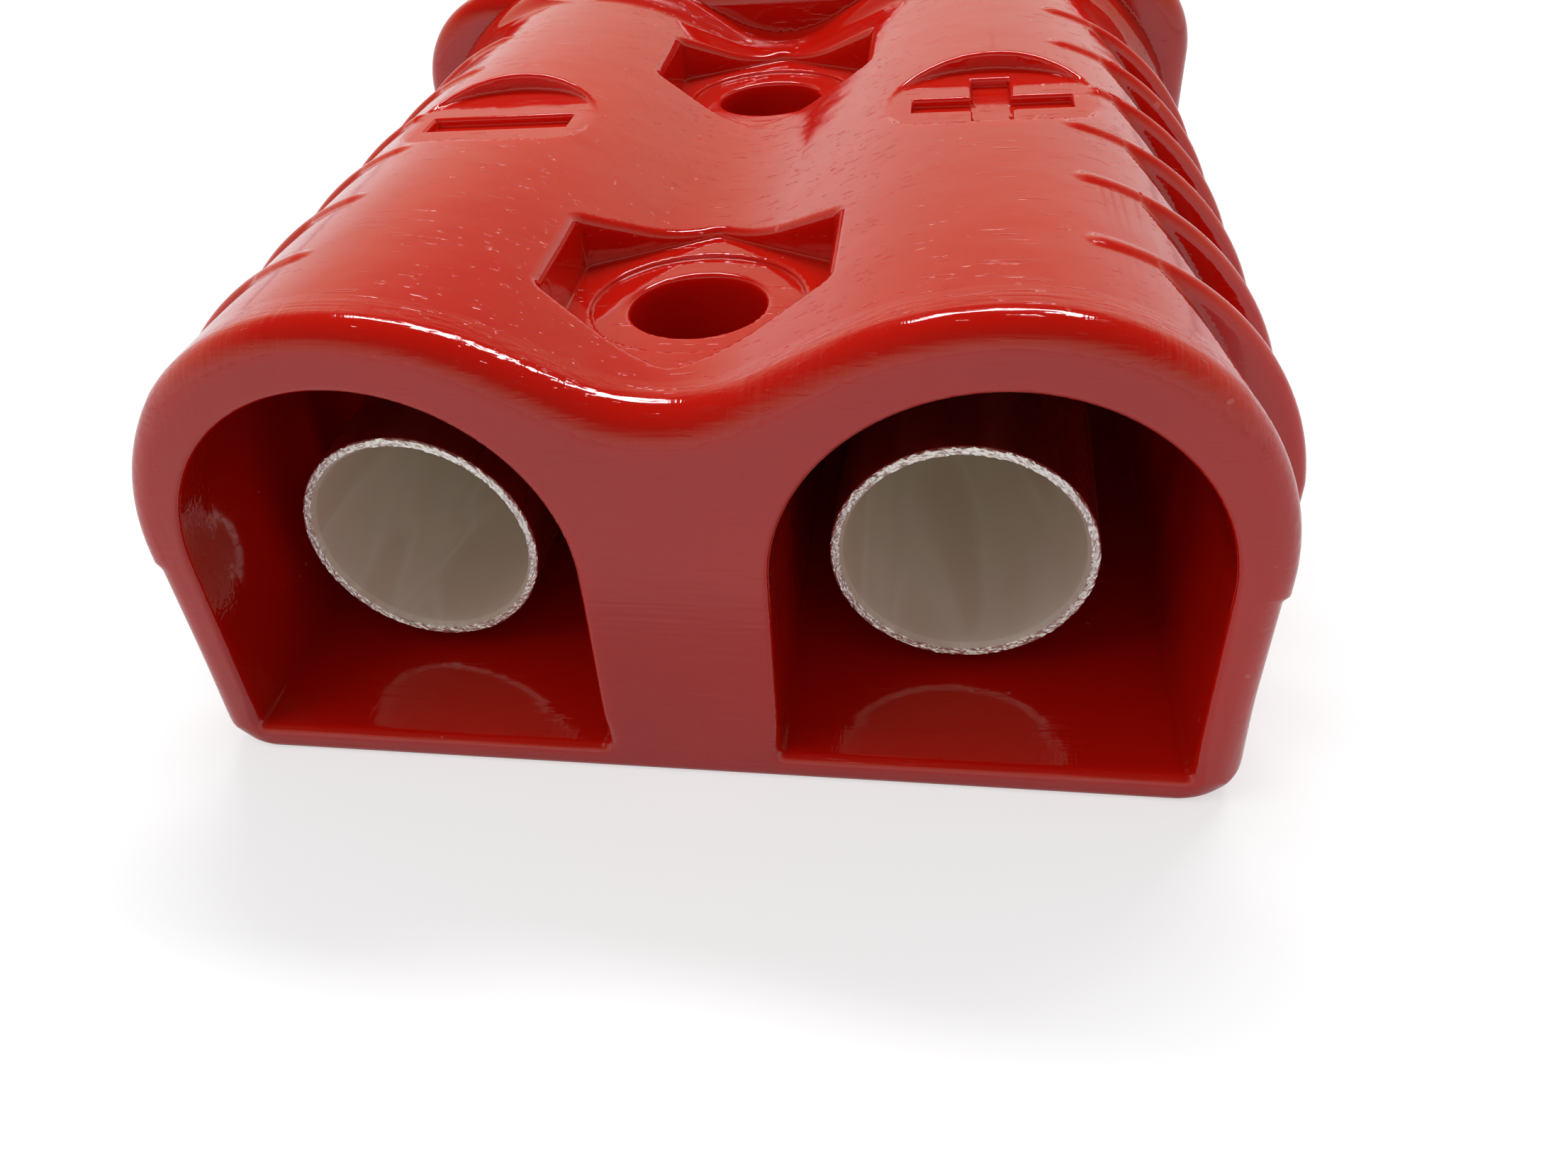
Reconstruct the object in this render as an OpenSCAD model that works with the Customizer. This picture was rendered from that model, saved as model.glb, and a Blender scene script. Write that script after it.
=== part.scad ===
// Genderless two-pole power connector.
// A one-piece moulded housing holds two wire-barrel contacts and the two leaf springs below their blades.
// +Y runs from the cable end to the mating end and +Z points up; the origin is under the middle of the housing.
// The mate is the same connector turned over about X, so everything that mates is set about the mating plane.

/* [Housing] */
// Length from the cable end to the mating end
housing_length = 80; // [78:0.5:84]
// Height from the flat underside to the crests of the humps
housing_height = 24.7; // [24.3:0.1:25.6]
// Width of the smooth body behind the hood
body_width = 52; // [50.4:0.2:53.6]
// Drop from the crests of the humps to the bottom of the valley between them
valley_drop = 4.15; // [3.6:0.05:4.6]
// Radius of the valley's hollow
valley_radius = 8; // [6:0.5:9]
// Radius of the outer shoulders
shoulder_radius = 12; // [10:0.5:12.5]
// Height of the mould's parting line on the sides
parting_height = 11.7; // [10:0.2:13]
// Ledge at the parting line
parting_step = 0.25; // [0.1:0.05:0.6]
// Inward draft of each lower side wall
side_draft = 0.15; // [0.05:0.05:1]
// Bevel along the bottom edges
bottom_bevel = 1; // [0.4:0.1:1.4]
// Rounding of the rim round the cable end
rim_radius = 1.5; // [1:0.1:2]

/* [Poles] */
// Distance between the two poles
pole_spacing = 27.6; // [27:0.1:28.4]
// Radius of the domed top of each cable entry
entry_radius = 9.5; // [9:0.1:9.8]
// Height of the centre of that dome
entry_axis_height = 12.2; // [11.8:0.1:12.4]
// Floor below the cable entries
entry_floor = 1.5; // [1:0.1:2]
// Depth of the cable entries
entry_depth = 36.5; // [36:0.1:38]

/* [Grip] */
// Number of ribs on each side
rib_count = 6; // [4:1:6]
// Distance from rib to rib
rib_pitch = 6.8; // [6:0.1:6.9]
// Distance from the cable end to the rearmost rib
rib_inset = 8; // [6:0.2:8.6]
// Width of a rib at its foot
rib_width = 2; // [1.4:0.1:2.6]
// Width of a rib at its crest
crest_width = 0.8; // [0.4:0.1:1]
// Rise of the ribs above the sides
rib_rise = 1.3; // [1:0.1:1.9]
// Angle from upright at which the ribs leave the shoulders, in degrees
rib_start = 16; // [12:1:25]
// Depth of the scoop between two ribs, behind the rib in front of it
scoop_depth = 1.8; // [1:0.1:2.2]
// Depth of the scoop where it runs out at the next rib
scoop_end_depth = 0.9; // [0.5:0.1:1]

/* [Hood] */
// Width of the hood
hood_width = 55.2; // [55:0.1:57]
// Length of the hood, from its rear wall to the mating end
hood_length = 28.5; // [27.5:0.1:29]
// Radius of the hood's upper corners
hood_corner = 6.5; // [5:0.5:8]
// Rounding of the hood's rear edge
hood_edge = 1.6; // [1:0.1:2]
// Thickness of the hood's roof
roof_thickness = 2.9; // [2.6:0.1:3.2]
// Thickness of the hood's side walls
hood_side = 3.7; // [3.2:0.1:4]
// Half width of the web between the two poles
web_half = 4.3; // [4.2:0.05:4.5]
// Rise of the ramp that leads up to the hood
ramp_rise = 0.75; // [0.3:0.05:1]
// Length of that ramp
ramp_length = 3; // [2:0.1:4]
// Clearance between mated housings
mating_clearance = 0.4; // [0.2:0.05:0.5]

/* [Mounting holes] */
// Diameter of the two mounting holes
hole_diameter = 6.5; // [6:0.1:6.8]
// Distance between them
hole_pitch = 30; // [29:0.1:30.5]
// Distance from the cable end to the first one
hole_inset = 11.6; // [11.4:0.1:12.4]
// Size across the flats of the hexagonal nut pockets at their floor
nut_flats = 12.5; // [12:0.1:13]
// Widening of the pockets per millimetre of height
nut_draft = 0.12; // [0.02:0.02:0.2]
// Depth of the nut pockets below the bottom of the valley
nut_depth = 0.46; // [0.3:0.02:1]
// Diameter of the washer seat in each pocket
seat_diameter = 10.2; // [10:0.1:11.5]
// Depth of the washer seat
seat_depth = 0.24; // [0.1:0.02:0.5]

/* [Polarity marks] */
// Distance between the two polarity marks
mark_spacing = 27.2; // [27:0.1:28]
// Diameter of the sunk discs that carry the marks
mark_diameter = 11; // [10:0.1:11.6]
// Depth of the discs below the crests of the humps
mark_depth = 1; // [0.8:0.05:1.2]
// Distance from the cable end to the middle of the marks
mark_inset = 26.9; // [26:0.1:28]
// Length of the bars of the marks
bar_length = 8.2; // [7:0.1:8.6]
// Width of the bars
bar_width = 2; // [1.6:0.1:2.4]
// Depth of the bars in the discs
bar_depth = 0.5; // [0.3:0.05:0.6]

/* [Contacts] */
// Outside diameter of the wire barrels
barrel_diameter = 12.7; // [12.4:0.1:13]
// Wall of the wire barrels
barrel_wall = 0.6; // [0.5:0.05:1.2]
// Distance from the cable end to the mouths of the barrels
barrel_inset = 6.7; // [6:0.1:8]
// Depth of the bore in the barrels
barrel_depth = 18; // [14:0.5:19]
// Length of the swaged neck between barrel and blade
neck_length = 7; // [6:0.1:7.4]
// Step down from the barrel to the neck
neck_step = 0.3; // [0.2:0.05:0.5]
// Drop from the middle of the blade to the axis of the barrel
barrel_drop = 1; // [0.6:0.05:1.2]
// Width of the blades
blade_width = 14.4; // [13.5:0.1:14.6]
// Thickness of the blades
blade_thickness = 3; // [2.8:0.05:3.1]
// Distance from the mating end back to the noses of the blades
nose_inset = 1; // [0.8:0.1:2]
// Inner radius of the curled noses
nose_radius = 1; // [0.6:0.1:1.4]
// Upward lean of the loose negative contact, in degrees
lean_negative = 1.1; // [0.6:0.05:1.4]
// Upward lean of the loose positive contact, in degrees
lean_positive = 1.25; // [0.6:0.05:1.4]
// Sideways lean of both contacts, in degrees
lean_side = 1.4; // [0:0.05:1.6]

/* [Tongues and springs] */
// Height of the gap for the leaf spring under a blade
spring_gap = 1.55; // [1.5:0.05:1.8]
// Thickness of a tongue under the spring
tongue_thickness = 4.4; // [4:0.1:4.5]
// Width of the channel that guides a blade
channel_width = 16.2; // [16:0.1:16.4]
// Height of the channel's rails above the tongue
rail_height = 2.6; // [2:0.1:3]
// Width of the leaf springs
spring_width = 10; // [8:0.1:12]
// Thickness of the spring strip
strip_thickness = 0.5; // [0.4:0.05:0.6]
// Length of the leaf springs
spring_length = 19; // [17:0.1:20]
// Distance from the hood's rear wall to the heel of a spring
spring_inset = 2.5; // [2:0.1:3]
// Depth of the tab that anchors the heel of a spring
tab_depth = 1.6; // [1.2:0.1:2]
// Clearance of the tab in its slot
tab_clearance = 0.1; // [0.05:0.01:0.2]

/* [Hidden] */
$fn = 96;

// Overshoot of cutting tools past the faces that they cut through
over = 1;
// Sliver of space that keeps a spring from cutting into its blade
touch = 0.02;

rear_y = -housing_length / 2;
front_y = housing_length / 2;
hood_y = front_y - hood_length;
pole_x = pole_spacing / 2;
side_x = body_width / 2;
hood_x = hood_width / 2;
mating_z = housing_height / 2;
valley_z = housing_height - valley_drop;

// Cross-section of the body: a hollow arc, a flat crest arc and a shoulder arc, each tangent to the next
arc_reach = (pole_x * pole_x + valley_drop * valley_drop) / (2 * valley_drop);
crest_radius = arc_reach - valley_radius;
crest_z = housing_height - crest_radius;
valley_angle = asin(pole_x / arc_reach);
shoulder_angle = asin((side_x - shoulder_radius - pole_x) / (crest_radius - shoulder_radius));
shoulder_x = pole_x + (crest_radius - shoulder_radius) * sin(shoulder_angle);
shoulder_z = crest_z + (crest_radius - shoulder_radius) * cos(shoulder_angle);
// Points along each arc of half the section
valley_steps = 4;
crest_steps = 7;
shoulder_steps = 11;
lower_steps = 4;
// Height at which the grip has run out into the lower side wall
grip_foot_z = 3;

rib_rear_y = rear_y + rib_inset;

// Contacts
blade_z = mating_z - blade_thickness / 2;
barrel_mouth = rear_y + barrel_inset;
pivot_y = hood_y + 0.5;
nose_y = front_y - nose_inset;
entry_end_y = rear_y + entry_depth;
neck_end_y = entry_end_y - 1.5;
barrel_end_y = neck_end_y - neck_length;

// Tongues and springs
tongue_top = mating_z - blade_thickness - spring_gap;
tongue_bottom = tongue_top - tongue_thickness;
tongue_inner = web_half + mating_clearance + 0.2;
chamber_outer = hood_x - hood_side;
tongue_outer = chamber_outer - mating_clearance;
nose_outer = nose_radius + blade_thickness;
tongue_y = nose_y - nose_outer - mating_clearance;
heel_y = hood_y + spring_inset;
spring_crest_y = heel_y + spring_length / 2;

// Point on a circle, with the angle counted from straight up
function on_arc(centre, radius, angle) = [centre[0] + radius * sin(angle), centre[1] + radius * cos(angle)];

// Share of a quarter turn from a starting angle to the side
function quarter(angle, start) = 90 * max(0, angle - start) / (90 - start);

// Outward move of the shoulder: grip is [rib share, scoop depth, angle where the scoop starts]
function grip_move(angle, grip) =
    let (rib = rib_rise * (1 - cos(quarter(angle, rib_start))))
    let (scoop = grip[1] * sin(quarter(angle, grip[2])))
    grip[0] * rib - (1 - grip[0]) * scoop;

// Half of the body's outline, from the valley over the hump and down the side, sunk by an inset
function body_half(inset, grip) =
    let (low_side = side_x - parting_step - inset, side_move = grip_move(90, grip))
    concat(
        [for (i = [0:valley_steps - 1]) let (a = valley_angle * i / valley_steps)
            [(valley_radius + inset) * sin(a), valley_z + valley_radius - (valley_radius + inset) * cos(a)]],
        [for (i = [0:crest_steps - 1])
            on_arc([pole_x, crest_z], crest_radius - inset,
                -valley_angle + (valley_angle + shoulder_angle) * i / crest_steps)],
        [for (i = [0:shoulder_steps]) let (a = shoulder_angle + (90 - shoulder_angle) * i / shoulder_steps)
            on_arc([shoulder_x, shoulder_z], shoulder_radius - inset + grip_move(a, grip), a)],
        [[side_x - inset + side_move, parting_height]],
        [for (i = [0:lower_steps]) let (z = parting_height + (grip_foot_z - parting_height) * i / lower_steps)
            [low_side - side_draft * i / lower_steps + side_move * (1 + cos(180 * i / lower_steps)) / 2, z]],
        [[low_side - side_draft, bottom_bevel],
         [low_side - side_draft - bottom_bevel, 0]]);

// Half of the hood's outline: flat roof, round corner and straight side
function hood_half(inset) = concat(
    [for (i = [0:shoulder_steps])
        on_arc([hood_x - hood_corner, housing_height - hood_corner], hood_corner - inset, 90 * i / shoulder_steps)],
    [[hood_x - inset, mating_z - over]]);

// Whole ring from half an outline; a point on the middle plane isn't repeated
function ring(half, y) = concat(
    [for (p = half) [p[0], y, p[1]]],
    [for (i = [len(half) - 1:-1:0]) if (half[i][0] > 0) [-half[i][0], y, half[i][1]]]);

// Skin through a list of rings with the same number of points
module loft(rings) {
    n = len(rings[0]);
    last = len(rings) - 1;
    polyhedron(
        points = [for (r = rings) for (p = r) p],
        faces = concat(
            [[for (i = [0:n - 1]) i]],
            [for (k = [0:last - 1]) for (i = [0:n - 1]) let (j = (i + 1) % n)
                each [[k * n + i, (k + 1) * n + i, k * n + j], [k * n + j, (k + 1) * n + i, (k + 1) * n + j]]],
            [[for (i = [n - 1:-1:0]) last * n + i]]));
}

SMOOTH = [0, 0, 0];
RIB = [1, 0, 0];
SCOOP_START = [0, scoop_depth, 22];
SCOOP_END = [0, scoop_end_depth, 44];

// Rounded rim at the cable end
function rim_rings() = [for (a = [0:22.5:90])
    ring(body_half(rim_radius * (1 - sin(a)), SMOOTH), rear_y + rim_radius * (1 - cos(a)))];

// One rib and the start and end of the scoops beside it
function rib_rings(y) = [
    ring(body_half(0, SCOOP_START), y - rib_width / 2),
    ring(body_half(0, RIB), y - crest_width / 2),
    ring(body_half(0, RIB), y + crest_width / 2),
    ring(body_half(0, SCOOP_END), y + rib_width / 2)];

// Ramp from the last scoop up to the hood
function ramp_rings() = [
    ring(body_half(0, SCOOP_START), hood_y - 2 * ramp_length),
    ring(body_half(0, [0, scoop_end_depth, 30]), hood_y - ramp_length),
    ring(body_half(-ramp_rise, SMOOTH), hood_y - 0.2),
    ring(body_half(-ramp_rise, SMOOTH), hood_y + hood_edge)];

module body_shell() {
    intersection() {
        loft(concat(
            rim_rings(),
            [for (i = [0:rib_count - 1]) each rib_rings(rib_rear_y + i * rib_pitch)],
            ramp_rings()));
        translate([-hood_x, rear_y - over, 0])
            cube([hood_width, housing_length, housing_height]);
    }
}

module hood_shell() {
    loft(concat(
        [for (a = [0:30:90]) ring(hood_half(hood_edge * (1 - sin(a))), hood_y + hood_edge * (1 - cos(a)))],
        [ring(hood_half(0), front_y - 0.5), ring(hood_half(0.5), front_y)]));
}

// Repeats what is drawn for the positive pole, mirrored, for the negative one
module both_poles() {
    children();
    mirror([1, 0, 0]) children();
}

// Space that the mate's roof, side walls and web take up below the mating plane
module mate_space() {
    translate([-hood_x - over, hood_y, -over])
        cube([hood_width + 2 * over, hood_length + over, mating_z + over]);
}

// Space inside the hood for the mate's tongue
module receiving_chamber() {
    translate([web_half + 0.2, hood_y + mating_clearance, mating_z - over])
        cube([chamber_outer - web_half - 0.2, hood_length, mating_z - roof_thickness + over]);
}

// Tongue with its two rails, rooted in the housing behind it
module tongue() {
    root_y = hood_y - over;
    difference() {
        translate([tongue_inner, root_y, tongue_bottom])
            cube([tongue_outer - tongue_inner, tongue_y - root_y, tongue_thickness + rail_height]);
        translate([pole_x - channel_width / 2, root_y - over, tongue_top])
            cube([channel_width, housing_length, rail_height + over]);
    }
}

// Domed cable entry with a flat floor
module cable_entry() {
    translate([pole_x, rear_y - over, entry_axis_height])
        rotate([-90, 0, 0])
            cylinder(r = entry_radius, h = entry_depth + over);
    translate([pole_x - entry_radius, rear_y - over, entry_floor])
        cube([2 * entry_radius, entry_depth + over, entry_axis_height - entry_floor]);
}

// Passage for the blade between the cable entry and the mating side
module blade_passage() {
    translate([pole_x - channel_width / 2, entry_end_y - over, tongue_top])
        cube([channel_width, hood_y + 2 * over - entry_end_y, mating_z + 1.3 - tongue_top]);
}

// Slot in the tongue for the tab of the leaf spring
module tab_slot() {
    width = spring_width / 2;
    translate([pole_x - width / 2 - tab_clearance, heel_y - tab_clearance, tongue_top - tab_depth - tab_clearance])
        cube([width + 2 * tab_clearance, strip_thickness + 2 * tab_clearance, tab_depth + over]);
}

// Mounting hole, washer seat and hexagonal nut pocket
module mounting_hole() {
    floor_z = valley_z - nut_depth;
    pocket_height = housing_height - floor_z + over;
    translate([0, 0, -over])
        cylinder(d = hole_diameter, h = housing_height + over);
    translate([0, 0, floor_z - seat_depth])
        cylinder(d = seat_diameter, h = housing_height);
    translate([0, 0, floor_z])
        rotate([0, 0, 30])
            cylinder(d1 = nut_flats / cos(30), d2 = (nut_flats + nut_draft * pocket_height) / cos(30),
                h = pocket_height, $fn = 6);
}

// Sunk disc on a hump, with a minus or a plus engraved in its floor
module polarity_mark(x, plus) {
    floor_z = housing_height - mark_depth;
    translate([x, rear_y + mark_inset, floor_z]) {
        cylinder(d = mark_diameter, h = mark_depth + over);
        translate([-bar_length / 2, -bar_width / 2, -bar_depth])
            cube([bar_length, bar_width, bar_depth + over]);
        if (plus)
            translate([-bar_width / 2, -bar_length / 2, -bar_depth])
                cube([bar_width, bar_length, bar_depth + over]);
    }
}

module housing() {
    color("firebrick")
    difference() {
        union() {
            difference() {
                union() {
                    body_shell();
                    hood_shell();
                }
                mate_space();
                both_poles() receiving_chamber();
            }
            both_poles() tongue();
        }
        both_poles() {
            cable_entry();
            blade_passage();
            tab_slot();
        }
        for (i = [0, 1])
            translate([0, rear_y + hole_inset + i * hole_pitch, 0])
                mounting_hole();
        polarity_mark(-mark_spacing / 2, false);
        polarity_mark(mark_spacing / 2, true);
    }
}

// Wire barrel, swaged neck, flat blade and curled nose, lying straight along +Y
module straight_contact() {
    barrel_z = blade_z - barrel_drop;
    curl_y = nose_y - nose_outer;
    difference() {
        union() {
            translate([0, barrel_mouth, barrel_z])
                rotate([-90, 0, 0])
                    cylinder(d = barrel_diameter, h = barrel_end_y - barrel_mouth);
            hull() {
                translate([0, barrel_end_y - over, barrel_z])
                    rotate([-90, 0, 0])
                        cylinder(d = barrel_diameter - 2 * neck_step, h = over, $fn = 32);
                translate([-blade_width / 2, neck_end_y, blade_z - blade_thickness / 2])
                    cube([blade_width, over, blade_thickness]);
            }
            translate([-blade_width / 2, neck_end_y, blade_z - blade_thickness / 2])
                cube([blade_width, curl_y - neck_end_y, blade_thickness]);
            curled_nose(curl_y);
        }
        translate([0, barrel_mouth - over, barrel_z])
            rotate([-90, 0, 0])
                cylinder(d = barrel_diameter - 2 * barrel_wall, h = barrel_depth + over);
    }
}

// Quarter turn of the blade down over the front of the tongue
module curled_nose(y) {
    centre_z = mating_z - nose_outer;
    translate([-blade_width / 2, y, centre_z])
        intersection() {
            rotate([0, 90, 0])
                difference() {
                    cylinder(r = nose_outer, h = blade_width);
                    translate([0, 0, -over])
                        cylinder(r = nose_radius, h = blade_width + 2 * over);
                }
            translate([-over, 0, 0])
                cube([blade_width + 2 * over, nose_outer + over, nose_outer + over]);
        }
}

// Leans a contact about the point where its blade leaves the housing
module leaning(lean) {
    translate([0, pivot_y, blade_z])
        rotate([lean, 0, -lean_side])
            translate([0, -pivot_y, -blade_z])
                children();
}

module contact_negative() {
    color("silver") translate([-pole_x, 0, 0]) leaning(lean_negative) straight_contact();
}

module contact_positive() {
    color("silver") translate([pole_x, 0, 0]) leaning(lean_positive) straight_contact();
}

// Arched strip that reaches up to its leaning blade, with an anchor tab at the heel
module leaf_spring(lean) {
    lift = (spring_crest_y - pivot_y) * tan(lean) + spring_gap - strip_thickness - touch;
    arch = (pow(spring_length / 2, 2) + lift * lift) / (2 * lift);
    translate([-spring_width / 2, 0, 0])
        intersection() {
            translate([0, spring_crest_y, tongue_top + lift - arch])
                rotate([0, 90, 0])
                    difference() {
                        cylinder(r = arch + strip_thickness, h = spring_width, $fn = 360);
                        translate([0, 0, -over])
                            cylinder(r = arch, h = spring_width + 2 * over, $fn = 360);
                    }
            translate([-over, heel_y, tongue_top])
                cube([spring_width + 2 * over, spring_length, spring_gap + over]);
        }
    translate([-spring_width / 4, heel_y, tongue_top - tab_depth])
        cube([spring_width / 2, strip_thickness, tab_depth + strip_thickness / 2]);
}

module spring_negative() {
    color("lightsteelblue") translate([-pole_x, 0, 0]) leaf_spring(lean_negative);
}

module spring_positive() {
    color("lightsteelblue") translate([pole_x, 0, 0]) leaf_spring(lean_positive);
}

housing();
contact_negative();
contact_positive();
spring_negative();
spring_positive();
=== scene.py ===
"""Dresses a genderless two-pole power connector: its moulded housing, contacts, springs and stage.

Shapes are worked out in millimetres, in the part's own frame, and go into the meshes in metres.
"""

import math
from types import SimpleNamespace

import bpy
import numpy as np
from bpy.props import FloatProperty, FloatVectorProperty, IntProperty, PointerProperty
from bpy.types import Operator, Panel, PropertyGroup
from mathutils import Matrix, Vector


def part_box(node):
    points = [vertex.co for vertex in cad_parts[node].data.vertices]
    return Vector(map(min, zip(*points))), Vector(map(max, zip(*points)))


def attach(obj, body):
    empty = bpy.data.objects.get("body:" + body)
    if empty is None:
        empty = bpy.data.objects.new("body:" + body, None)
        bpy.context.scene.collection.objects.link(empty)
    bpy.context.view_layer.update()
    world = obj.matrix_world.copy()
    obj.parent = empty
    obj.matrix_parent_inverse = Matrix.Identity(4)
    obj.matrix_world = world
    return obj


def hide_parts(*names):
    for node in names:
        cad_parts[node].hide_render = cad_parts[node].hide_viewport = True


bl_info = {
    "name": "Genderless power connector",
    "version": (1, 0, 0),
    "blender": (4, 5, 0),
    "location": "View3D > Sidebar > Connector",
    "description": "Builds the housing, contacts, springs and stage of a two-pole power connector",
    "category": "Object",
}

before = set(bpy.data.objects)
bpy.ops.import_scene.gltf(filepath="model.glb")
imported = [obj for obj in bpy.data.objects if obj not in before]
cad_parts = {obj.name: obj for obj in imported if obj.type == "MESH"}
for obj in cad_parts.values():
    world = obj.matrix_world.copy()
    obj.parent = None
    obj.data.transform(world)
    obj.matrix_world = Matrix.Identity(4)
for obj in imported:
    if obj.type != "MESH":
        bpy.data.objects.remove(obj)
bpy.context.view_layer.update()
housing_low, housing_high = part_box("housing")

MM = 0.001
# What gloss mirrors of the studio: pale and warm at the horizon, dark overhead; stops of (height, colour)
SKY_STOPS = (
    (0.05, (0.95, 0.93, 0.88)),
    (0.38, (0.75, 0.62, 0.45)),
    (0.68, (0.12, 0.09, 0.07)),
    (1.0, (0.04, 0.035, 0.03)),
)
# Turns round the shoulder, in degrees from upright
DEEP_BAY_TURN = 27.3  # where a bay starts behind the rib in front of it
SHALLOW_BAY_TURN = 41.8  # where it starts at its far end
FIRST_BAY_TURN = 48.6  # where the bay before the first rib starts
RAMP_BAY_TURNS = (27.3, 30.0, 36.0)  # where the last bay starts on its way to the hood
RIB_TIP_TURN, RIB_TIP_LENGTH = 9.0, 9.0  # where a rib's tip leaves the hump, and over what turn
RIB_SWELL_TURN = 18.0  # from where a rib swells down to the side
# Lengths in millimetres
RIB_START = 0.15  # rise of a rib past its tip
RIB_SUNK = 0.6  # depth at which a rib hides before its tip
VALLEY_RIM = 0.5  # what the rim's radius gains in the valley
BOTTOM_EDGE = 0.5
LIP_RADIUS = 0.3  # lip of a cable entry, and what it gains at the floor
CELL = 0.22  # usual step of the housing's grid
# Rows of points along a contact's bore and across its sawn mouth
BORE_STEPS, MOUTH_STEPS = 30, 8
BORE_ROWS, MOUTH_ROWS = BORE_STEPS + 5, MOUTH_STEPS + 1
# Camera and lamps; places in metres but for the camera's, which is in millimetres
CAMERA_PLACE = (10.922, -81.588, 45.549)
CAMERA_SHIFT = (0.0609, 0.0049)
CAMERA_HOUSING_HEIGHT = 24.5  # height of the housing that the camera's place belongs to
FLOOR_HALF = 9.0
# Glow that the floor adds for the camera and for gloss
FLOOR_SEEN, FLOOR_MIRRORED = 0.58, 0.36


def size(name, description, millimetres):
    """A length that a user may change, stored in metres."""
    return FloatProperty(
        name=name, description=description, default=millimetres * MM, min=0.0, unit="LENGTH", precision=5
    )


def angle(name, description, degrees):
    """An angle that a user may change, stored in radians."""
    return FloatProperty(name=name, description=description, default=math.radians(degrees), subtype="ANGLE")


def colour(name, description, rgb):
    """A linear colour that a user may change."""
    return FloatVectorProperty(
        name=name, description=description, default=rgb, size=3, min=0.0, max=1.0, subtype="COLOR"
    )


class HousingSizes(PropertyGroup):
    """Sizes of the moulded housing; its length, height and hood width come from the frame."""

    side_x: size("Side", "Half width of the body behind the hood", 26.0)
    valley_drop: size("Valley drop", "Drop from the humps to the valley", 4.15)
    valley_radius: size("Valley radius", "Radius of the hollow between the humps", 8.0)
    flank_slope: angle("Flank slope", "Slope of the straight flanks of the hollow", 27.0)
    shoulder_radius: size("Shoulder radius", "Radius of the outer shoulders", 12.0)
    parting_height: size("Parting height", "Height of the parting line", 11.7)
    parting_step: size("Parting step", "Ledge at the parting line", 0.25)
    side_draft: size("Side draft", "Inward draft of a lower side wall", 0.15)
    bottom_bevel: size("Bottom bevel", "Bevel along the bottom edges", 1.0)
    rim_radius: size("Rim radius", "Rounding of the rim at the cable end", 1.5)
    edge_radius: size("Edge radius", "Rounding of the moulded edges", 0.35)

    pole_x: size("Pole offset", "Distance of each pole from the middle", 13.8)
    entry_radius: size("Entry radius", "Radius of the cable entries' domes", 9.5)
    entry_height: size("Entry height", "Height of the domes' centres", 12.2)
    entry_floor: size("Entry floor", "Floor under the cable entries", 1.5)
    entry_depth: size("Entry depth", "Depth of the cable entries", 36.5)

    rib_count: IntProperty(name="Ribs", description="Ribs on each side", default=6, min=1)
    rib_pitch: size("Rib pitch", "Distance from rib to rib", 6.8)
    rib_inset: size("Rib inset", "Distance from the cable end to the first rib", 8.0)
    rib_rise: size("Rib rise", "Rise of the ribs above the sides", 1.3)
    rib_bead: size("Rib bead", "Radius of a rib's rounded crest", 0.55)
    scoop_depth: size("Scoop depth", "Depth of a bay behind the rib in front of it", 1.8)
    scoop_end: size("Scoop end depth", "Depth of a bay where it runs out", 0.9)

    hood_length: size("Hood length", "Length of the hood", 28.5)
    hood_corner: size("Hood corner", "Radius of the hood's upper corners", 6.5)
    hood_edge: size("Hood edge", "Rounding of the hood's rear edge", 1.6)
    roof: size("Roof", "Thickness of the hood's roof", 2.9)
    hood_side: size("Hood side", "Thickness of the hood's sides", 3.7)
    web_half: size("Web", "Half width of the web between the poles", 4.3)
    ramp_rise: size("Ramp rise", "Rise of the ramp up to the hood", 0.75)
    ramp_length: size("Ramp length", "Length of that ramp", 3.0)
    clearance: size("Clearance", "Clearance between mated housings", 0.4)

    hole_radius: size("Hole radius", "Radius of the mounting holes", 3.25)
    hole_pitch: size("Hole pitch", "Distance between the mounting holes", 30.0)
    hole_inset: size("Hole inset", "Distance from the cable end to the first hole", 11.6)
    nut_half: size("Nut pocket", "Half the width across the flats of a nut pocket", 6.25)
    nut_depth: size("Nut depth", "Depth of a nut pocket below the valley", 0.46)
    seat_radius: size("Seat radius", "Radius of the washer seats", 5.1)
    seat_depth: size("Seat depth", "Depth of the washer seats", 0.24)

    mark_x: size("Mark offset", "Distance of each polarity mark from the middle", 13.6)
    mark_inset: size("Mark inset", "Distance from the cable end to the marks", 26.9)
    mark_radius: size("Mark radius", "Radius of the sunk discs", 5.5)
    mark_depth: size("Mark depth", "Depth of the sunk discs", 1.0)
    bar_half: size("Bar length", "Half length of a bar", 4.1)
    bar_width: size("Bar width", "Half width of a bar", 1.0)
    bar_depth: size("Bar depth", "Depth of a bar in its disc", 0.5)

    spring_gap: size("Spring gap", "Gap for the spring under a blade", 1.55)
    tongue: size("Tongue", "Thickness of a tongue", 4.4)
    channel_half: size("Channel", "Half width of the blade's channel", 8.1)
    rail: size("Rail", "Height of the channel's rails", 2.6)


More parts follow.
